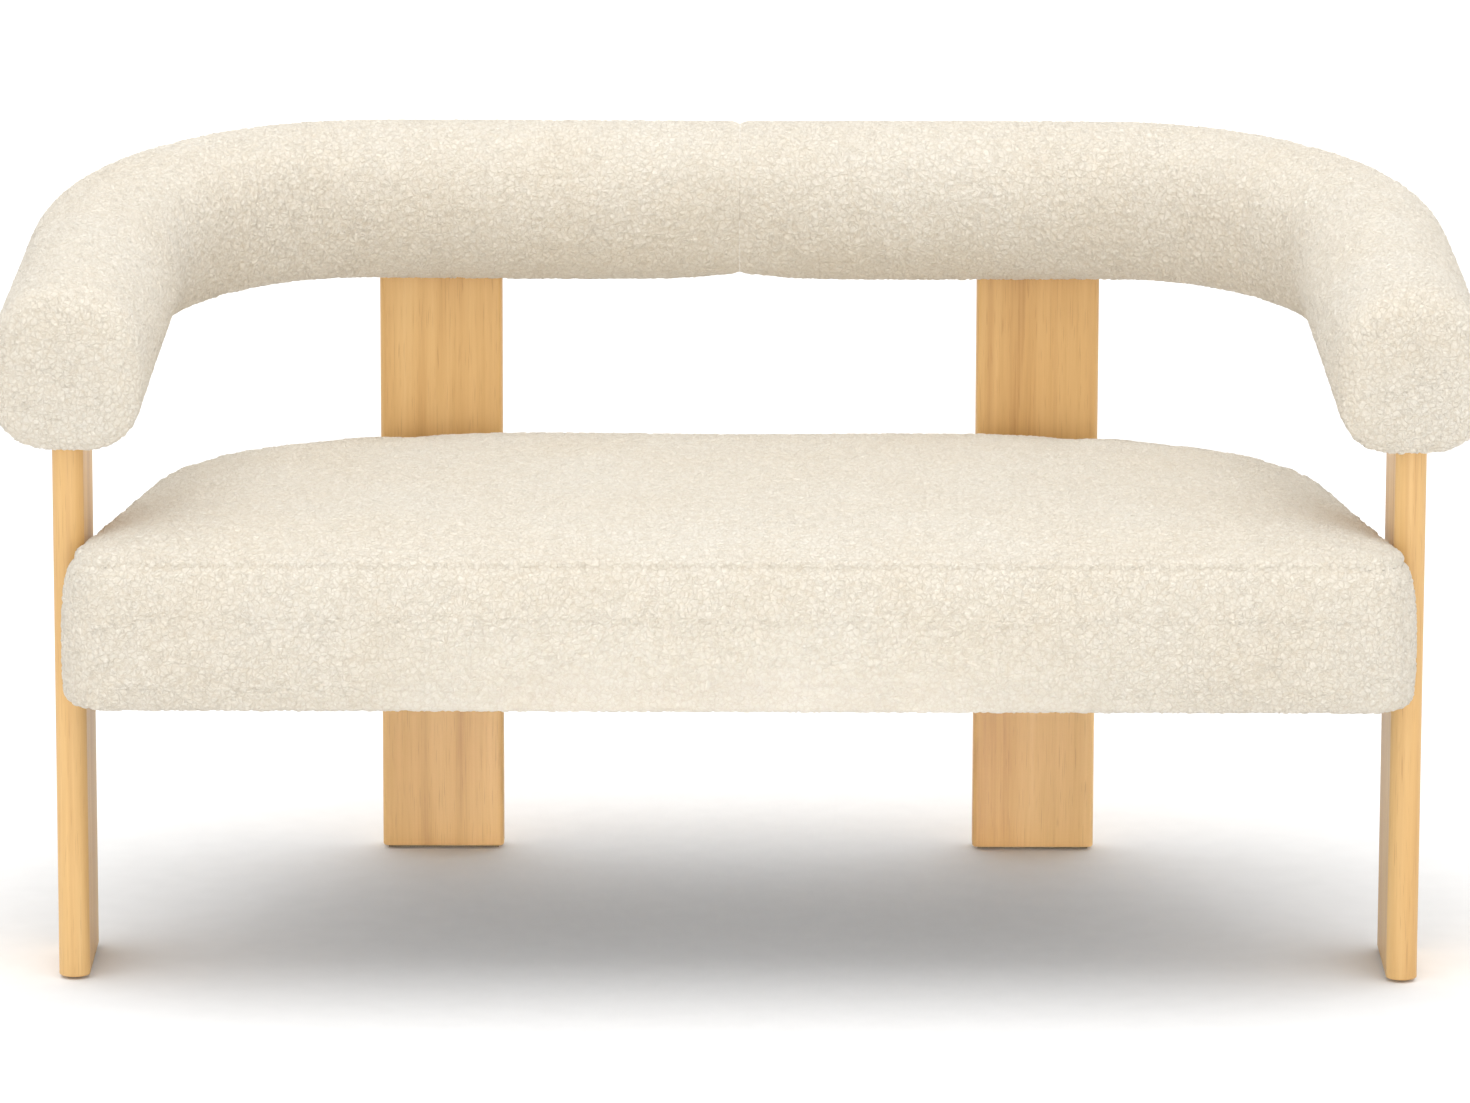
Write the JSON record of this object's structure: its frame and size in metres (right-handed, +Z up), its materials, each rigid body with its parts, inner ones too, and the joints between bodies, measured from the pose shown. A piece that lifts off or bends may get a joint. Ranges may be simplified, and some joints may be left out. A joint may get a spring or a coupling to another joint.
{
  "type": "sofa with wooden legs",
  "caption": "Low sofa: a flat seat with rounded rear corners under a bent roll that is back and arms in one, in looped cloth, on upright slab legs.",
  "frame": {"origin": "on the floor, under the middle of the whole sofa", "axes": "+X along the seat, to the right as seen from the front; +Y from the front to the back; +Z up"},
  "size_m": [1.4502, 0.6994, 0.7614],
  "materials": {
    "boucle": "matte",
    "ash_wood": "satin",
    "plywood": "matte",
    "foam": "matte",
    "webbing": "matte",
    "dust_cloth": "matte",
    "steel": "satin",
    "felt": "matte"
  },
  "bodies": {
    "root": {"board_screw_front_left_a": "steel", "board_screw_front_left_b": "steel", "board_screw_front_right_a": "steel", "board_screw_front_right_b": "steel", "board_screw_rear_left_a": "steel", "board_screw_rear_left_b": "steel", "board_screw_rear_right_a": "steel", "board_screw_rear_right_b": "steel", "bolster_board_back": "plywood", "bolster_board_left": "plywood", "bolster_board_right": "plywood", "bolster_cap_left": "boucle", "bolster_cap_right": "boucle", "bolster_cover_arm_left": "boucle", "bolster_cover_arm_right": "boucle", "bolster_cover_back_left": "boucle", "bolster_cover_back_right": "boucle", "bolster_foam_arm_left": "foam", "bolster_foam_arm_right": "foam", "bolster_foam_back": "foam", "bolster_foam_corner_left": "foam", "bolster_foam_corner_right": "foam", "bolster_foam_end_left": "foam", "bolster_foam_end_right": "foam", "bolster_splice_left": "plywood", "bolster_splice_right": "plywood", "foot_pad_front_left": "felt", "foot_pad_front_right": "felt", "foot_pad_rear_left": "felt", "foot_pad_rear_right": "felt", "leg_front_left": "ash_wood", "leg_front_right": "ash_wood", "leg_rear_left": "ash_wood", "leg_rear_right": "ash_wood", "seat_bolt_front_left_a": "steel", "seat_bolt_front_left_b": "steel", "seat_bolt_front_right_a": "steel", "seat_bolt_front_right_b": "steel", "seat_bolt_rear_left_a": "steel", "seat_bolt_rear_left_b": "steel", "seat_bolt_rear_right_a": "steel", "seat_bolt_rear_right_b": "steel", "seat_corner_block_left": "plywood", "seat_corner_block_right": "plywood", "seat_cover_band": "boucle", "seat_cover_top": "boucle", "seat_dust_cloth": "dust_cloth", "seat_foam": "foam", "seat_rail_front": "plywood", "seat_rail_left": "plywood", "seat_rail_middle": "plywood", "seat_rail_rear": "plywood", "seat_rail_right": "plywood", "seat_webbing_1": "webbing", "seat_webbing_2": "webbing", "seat_webbing_3": "webbing", "seat_webbing_4": "webbing", "seat_webbing_5": "webbing", "seat_webbing_6": "webbing"}
  },
  "joints": []
}
